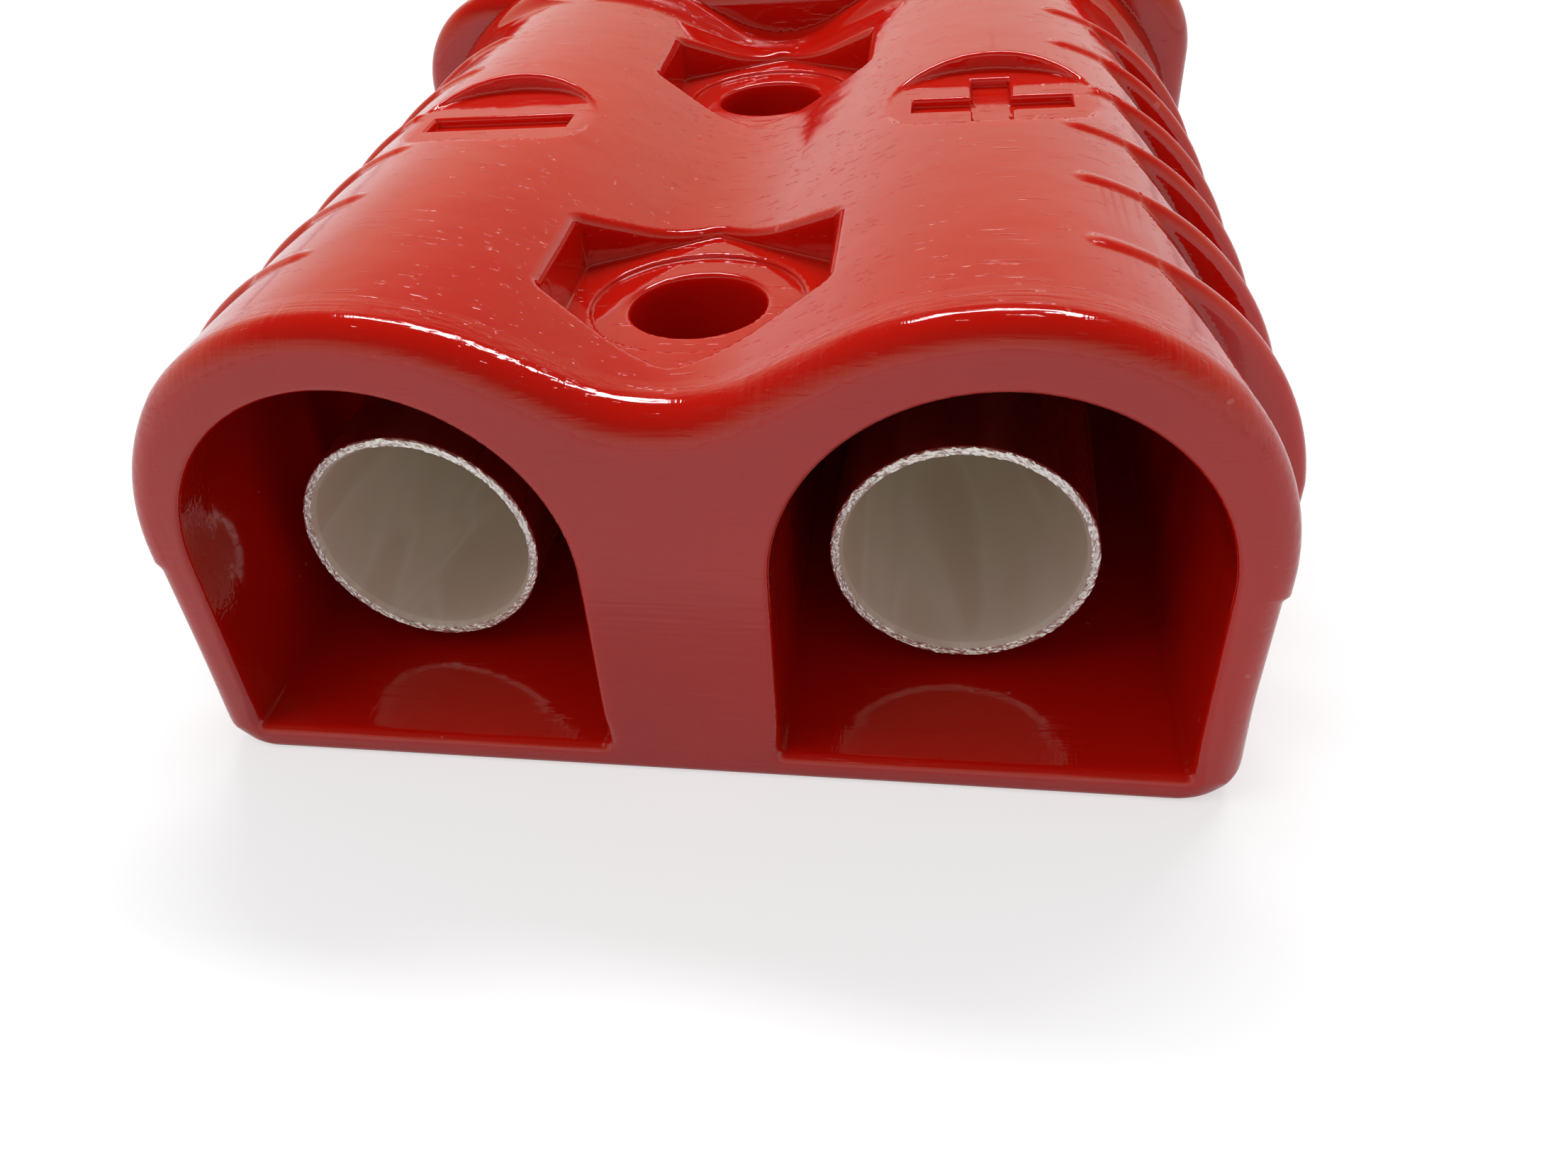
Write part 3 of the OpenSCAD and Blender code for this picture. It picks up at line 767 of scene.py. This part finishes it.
def swept_mesh(name, rings):
    """Closed mesh through rings of points: an array (rings, around, 3), with a pole at each end."""
    n, m, _ = rings.shape
    poles = rings[[0, -1]].mean(1)
    points = np.concatenate([rings.reshape(-1, 3), poles])
    i, j = np.meshgrid(np.arange(n - 1), np.arange(m), indexing="ij")
    k = (j + 1) % m
    quads = np.stack([i * m + j, i * m + k, (i + 1) * m + k, (i + 1) * m + j], -1).reshape(-1, 4)
    faces = np.concatenate([quads[:, [0, 1, 2]], quads[:, [0, 2, 3]]])
    around = np.arange(m)
    turned = (around + 1) % m
    last = (n - 1) * m
    start = np.stack([np.full(m, n * m), turned, around], 1)
    end = np.stack([np.full(m, n * m + 1), last + around, last + turned], 1)
    return make_mesh(name, points, np.concatenate([faces, start, end]))


class CONNECTOR_OT_contacts(Operator):
    """Build both contacts: wire barrel, swaged neck, blade and curled nose in one skin"""

    bl_idname = "connector.contacts"
    bl_label = "Contacts"
    bl_options = {"REGISTER", "UNDO"}

    around: IntProperty(name="Around", description="Points round a section", default=320)

    def execute(self, context):
        material = plated_metal()
        c = in_mm(context.scene.connector_contacts)
        for pole, lean, seed in (("negative", c.lean_negative, 11), ("positive", c.lean_positive, 12)):
            side = -1.0 if pole == "negative" else 1.0
            rings = contact_rings(c, self.around, seed)
            rings = leaned(rings, c, side, lean)
            mesh = swept_mesh("contact_" + pole, rings)
            mesh.set_sharp_from_angle(angle=math.radians(50))
            mark_barrel(mesh, c, rings)
            add_piece("plated_contact_" + pole, mesh, material, ["contact_" + pole])
        return {"FINISHED"}


def mark_barrel(mesh, c, rings):
    """Point attributes for the finish: 1 on the sawn mouth, and 1 inside the bore."""
    count = rings.shape[1]
    for name, first, last in (("bore", 0, BORE_ROWS), ("sawn", BORE_ROWS, BORE_ROWS + MOUTH_ROWS)):
        values = np.zeros(len(mesh.vertices), np.float32)
        values[first * count : last * count] = 1.0
        if name == "bore":
            values[rings.shape[0] * count] = 1.0
        mesh.attributes.new(name, "FLOAT", "POINT").data.foreach_set("value", values)


def leaned(rings, c, side, lean):
    """Turns a straight contact up and sideways about the point where its blade leaves the housing."""
    d = housing_sizes()
    pivot = Vector((0.0, d.hood_y + 0.5, d.mating_z - c.blade_thickness / 2))
    turn = (
        Matrix.Translation((side * d.pole_x, 0.0, 0.0))
        @ Matrix.Translation(pivot)
        @ Matrix.Rotation(-c.lean_side, 4, "Z")
        @ Matrix.Rotation(lean, 4, "X")
        @ Matrix.Translation(-pivot)
    )
    m = np.array(turn)
    return rings @ m[:3, :3].T + m[:3, 3]


def section(angles, half_width, half_height, power):
    """Superellipse: half sizes times the signed 2/power powers of cosine and sine."""
    c, s = np.cos(angles), np.sin(angles)
    u = half_width * np.sign(c) * np.abs(c) ** (2.0 / power)
    w = half_height * np.sign(s) * np.abs(s) ** (2.0 / power)
    return u, w


def contact_rings(c, around, seed):
    """Rings of one contact, lying straight along +Y.

    The skin starts at the bottom of the bore, turns out over the sawn mouth, runs back along the
    barrel and the neck, whose section blends from a circle to the blade's, and ends on the nose.
    """
    d = housing_sizes()
    blade_z = d.mating_z - c.blade_thickness / 2
    barrel_z = blade_z - c.barrel_drop
    mouth = d.rear_y + c.barrel_inset
    neck_end = d.entry_end - 1.5
    barrel_end = neck_end - c.neck_length
    nose_outer = c.nose_radius + c.blade_thickness
    curl_y = d.front_y - c.nose_inset - nose_outer
    angles = np.linspace(0.0, 2 * math.pi, around, endpoint=False)
    ring_x, ring_z = np.cos(angles), np.sin(angles)
    rng = np.random.default_rng(seed)

    def circle(y, radius, rough=0.0):
        wobble = rng.normal(0.0, 1.0, (2, around)) * rough
        wobble = (wobble + np.roll(wobble, 1, 1)) / 2
        r = radius + wobble[0] * 0.5
        return np.stack([ring_x * r, np.full(around, y) + np.abs(wobble[1]), barrel_z + ring_z * r], 1)

    wall = c.barrel_radius - c.bore_radius
    bevel = 0.16
    rings = [circle(mouth + c.barrel_depth, 0.4), circle(mouth + c.barrel_depth, c.bore_radius - 0.5)]
    rings += [circle(mouth + c.barrel_depth - 0.5, c.bore_radius)]
    bore = np.linspace(mouth + c.barrel_depth - 1.0, mouth + 0.42, BORE_STEPS)
    rings += [circle(y, c.bore_radius) for y in bore]
    rings += [circle(mouth + 0.36, c.bore_radius + 0.01), circle(mouth + 0.08, c.bore_radius + bevel, 0.02)]
    for share in np.linspace(0.0, 1.0, MOUTH_STEPS):
        across = bevel + 0.02 + (wall - bevel - 0.1) * share
        rings.append(circle(mouth, c.bore_radius + across, 0.05))
    rings.append(circle(mouth + 0.06, c.barrel_radius - 0.02, 0.03))
    rings += [circle(y, c.barrel_radius) for y in np.linspace(mouth + 0.2, barrel_end - 0.2, 34)]
    neck_radius = c.barrel_radius - c.neck_step
    rings += [circle(barrel_end, c.barrel_radius - 0.15), circle(barrel_end + 0.1, neck_radius)]
    for t in np.linspace(0.0, 1.0, 24)[1:]:
        s = float(smooth(t))
        u, w = section(
            angles,
            neck_radius + (c.blade_width / 2 - neck_radius) * s,
            neck_radius + (c.blade_thickness / 2 - neck_radius) * s,
            2.0 + 7.0 * t * t,
        )
        y = barrel_end + 0.1 + (neck_end - barrel_end - 0.1) * t
        rings.append(np.stack([u, np.full(around, y), barrel_z + (blade_z - barrel_z) * s + w], 1))
    u, w = section(angles, c.blade_width / 2, c.blade_thickness / 2, 9.0)
    rings += [
        np.stack([u, np.full(around, y), blade_z + w], 1) for y in np.linspace(neck_end + 1.0, curl_y, 30)
    ]
    mid_radius = nose_outer - c.blade_thickness / 2
    for a in np.linspace(0.0, math.pi / 2, 20)[1:]:
        rings.append(nose_ring(d, u, w, a, curl_y, mid_radius, nose_outer))
    for shrink in (0.97, 0.88):
        narrow = u * (1 - 0.25 * (1 - shrink))
        rings.append(nose_ring(d, narrow, w * shrink, math.pi / 2, curl_y, mid_radius, nose_outer))
    return np.array(rings)


def nose_ring(d, u, w, a, curl_y, mid_radius, nose_outer):
    """The blade's section carried round the quarter circle of the nose, to angle a."""
    radius = mid_radius + w
    return np.stack([u, curl_y + radius * math.sin(a), d.mating_z - nose_outer + radius * math.cos(a)], 1)


class CONNECTOR_OT_springs(Operator):
    """Give the leaf springs their spring-steel finish"""

    bl_idname = "connector.springs"
    bl_label = "Springs"
    bl_options = {"REGISTER", "UNDO"}

    def execute(self, context):
        material = drawn_metal("spring_steel", context.scene.connector_colours.steel, 0.18, 0.3).material
        for name in ("spring_negative", "spring_positive"):
            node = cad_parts[name]
            node.data.materials.clear()
            node.data.materials.append(material)
        return {"FINISHED"}


class CONNECTOR_OT_stage(Operator):
    """Set the floor, the studio light and the camera"""

    bl_idname = "connector.stage"
    bl_label = "Stage"
    bl_options = {"REGISTER", "UNDO"}

    yaw: angle("Yaw", "Turn of the camera to the left", 13.785)
    pitch: angle("Pitch", "Tilt of the camera below the horizon", 38.615)
    roll: angle("Roll", "Roll of the camera", 6.787)
    lens: FloatProperty(name="Lens", description="Focal length in millimetres on a 36 mm sensor", default=28.446)
    sky: FloatProperty(name="Sky", description="Brightness of the soft light from all round", default=0.45)

    def execute(self, context):
        n = FLOOR_HALF
        corners = np.array([[-n, -n, 0.0], [n, -n, 0.0], [n, n, 0.0], [-n, n, 0.0]]) / MM
        floor = bpy.data.objects.new("floor", make_mesh("floor", corners, np.array([[0, 1, 2, 3]])))
        context.scene.collection.objects.link(floor)
        floor.data.materials.append(pale_floor())
        self.camera(context)
        self.lamp(context, "top_softbox", (0.03, 0.4, 0.75), (0.65, 0.12), 4.8)
        fill = self.lamp(context, "fill_softbox", (-0.55, -0.3, 0.72), (0.5, 0.5), 1.6)
        fill.visible_glossy = False
        self.world(context)
        context.scene.view_settings.view_transform = "Standard"
        return {"FINISHED"}

    def camera(self, context):
        """Camera behind and above the cable end; it rises and falls with the top of the housing."""
        rise = housing_high.z / MM - CAMERA_HOUSING_HEIGHT
        place = (Vector(CAMERA_PLACE) + Vector((0.0, 0.0, rise))) * MM
        flat = math.cos(self.pitch)
        ahead = Vector((-math.sin(self.yaw) * flat, math.cos(self.yaw) * flat, -math.sin(self.pitch)))
        level = Vector((math.cos(self.yaw), math.sin(self.yaw), 0.0))
        over = level.cross(ahead)
        right = math.cos(self.roll) * level - math.sin(self.roll) * over
        up = math.sin(self.roll) * level + math.cos(self.roll) * over
        data = bpy.data.cameras.new("camera")
        data.lens = self.lens
        data.sensor_width = 36.0
        data.shift_x, data.shift_y = CAMERA_SHIFT
        data.clip_start = 0.005
        camera = bpy.data.objects.new("camera", data)
        camera.matrix_world = Matrix.Translation(place) @ Matrix((right, up, -ahead)).transposed().to_4x4()
        context.scene.collection.objects.link(camera)
        context.scene.camera = camera

    def lamp(self, context, name, place, sides, watts):
        """A softbox that looks at the origin."""
        data = bpy.data.lights.new(name, "AREA")
        data.shape = "RECTANGLE"
        data.size, data.size_y = sides
        data.energy = watts
        lamp = bpy.data.objects.new(name, data)
        lamp.location = place
        lamp.rotation_euler = (-Vector(place)).to_track_quat("-Z", "Y").to_euler()
        context.scene.collection.objects.link(lamp)
        return lamp

    def world(self, context):
        """Soft light from all round; the camera sees it as white, and gloss mirrors it darkening upwards."""
        world = bpy.data.worlds.new("studio")
        world.use_nodes = True
        tree = world.node_tree
        rays = tree.nodes.new("ShaderNodeLightPath").outputs
        direction = tree.nodes.new("ShaderNodeSeparateXYZ")
        tree.links.new(tree.nodes.new("ShaderNodeTexCoord").outputs["Generated"], direction.inputs[0])
        ramp = tree.nodes.new("ShaderNodeValToRGB")
        while len(ramp.color_ramp.elements) < len(SKY_STOPS):
            ramp.color_ramp.elements.new(0.5)
        for element, (height, rgb) in zip(ramp.color_ramp.elements, SKY_STOPS):
            element.position = height
            element.color = (*rgb, 1.0)
        tree.links.new(direction.outputs["Z"], ramp.inputs[0])
        mirrored = tree.nodes.new("ShaderNodeMath")
        mirrored.operation = "MAXIMUM"
        tree.links.new(rays["Is Glossy Ray"], mirrored.inputs[0])
        tree.links.new(rays["Is Transmission Ray"], mirrored.inputs[1])
        previous = None
        for share, colour in ((mirrored.outputs[0], ramp.outputs[0]), (rays["Is Camera Ray"], (1.0,) * 4)):
            mix = tree.nodes.new("ShaderNodeMix")
            mix.data_type = "RGBA"
            tree.links.new(share, mix.inputs[0])
            if previous is None:
                mix.inputs[6].default_value = (self.sky, self.sky, self.sky, 1.0)
                tree.links.new(colour, mix.inputs[7])
            else:
                tree.links.new(previous, mix.inputs[6])
                mix.inputs[7].default_value = colour
            previous = mix.outputs[2]
        tree.links.new(previous, tree.nodes["Background"].inputs["Color"])
        context.scene.world = world


class CONNECTOR_PT_panel(Panel):
    """Sidebar panel that lists the sizes, the colours and the pieces"""

    bl_idname = "CONNECTOR_PT_panel"
    bl_label = "Power connector"
    bl_space_type = "VIEW_3D"
    bl_region_type = "UI"
    bl_category = "Connector"

    def draw(self, context):
        column = self.layout.column()
        for operator in OPERATORS:
            column.operator(operator.bl_idname)
        for group in (
            context.scene.connector_housing,
            context.scene.connector_contacts,
            context.scene.connector_colours,
        ):
            box = self.layout.box().column()
            for name in group.__annotations__:
                box.prop(group, name)


OPERATORS = (
    CONNECTOR_OT_stage,
    CONNECTOR_OT_housing,
    CONNECTOR_OT_contacts,
    CONNECTOR_OT_springs,
)
GROUPS = {
    "connector_housing": HousingSizes,
    "connector_contacts": ContactSizes,
    "connector_colours": Colours,
}


def register():
    for group in GROUPS.values():
        bpy.utils.register_class(group)
    for name, group in GROUPS.items():
        setattr(bpy.types.Scene, name, PointerProperty(type=group))
    for operator in OPERATORS:
        bpy.utils.register_class(operator)
    bpy.utils.register_class(CONNECTOR_PT_panel)


def unregister():
    bpy.utils.unregister_class(CONNECTOR_PT_panel)
    for operator in reversed(OPERATORS):
        bpy.utils.unregister_class(operator)
    for name, group in reversed(GROUPS.items()):
        delattr(bpy.types.Scene, name)
        bpy.utils.unregister_class(group)


def main():
    register()
    bpy.ops.connector.stage()
    bpy.ops.connector.housing()
    bpy.ops.connector.contacts()
    bpy.ops.connector.springs()


if __name__ == "__main__":
    main()
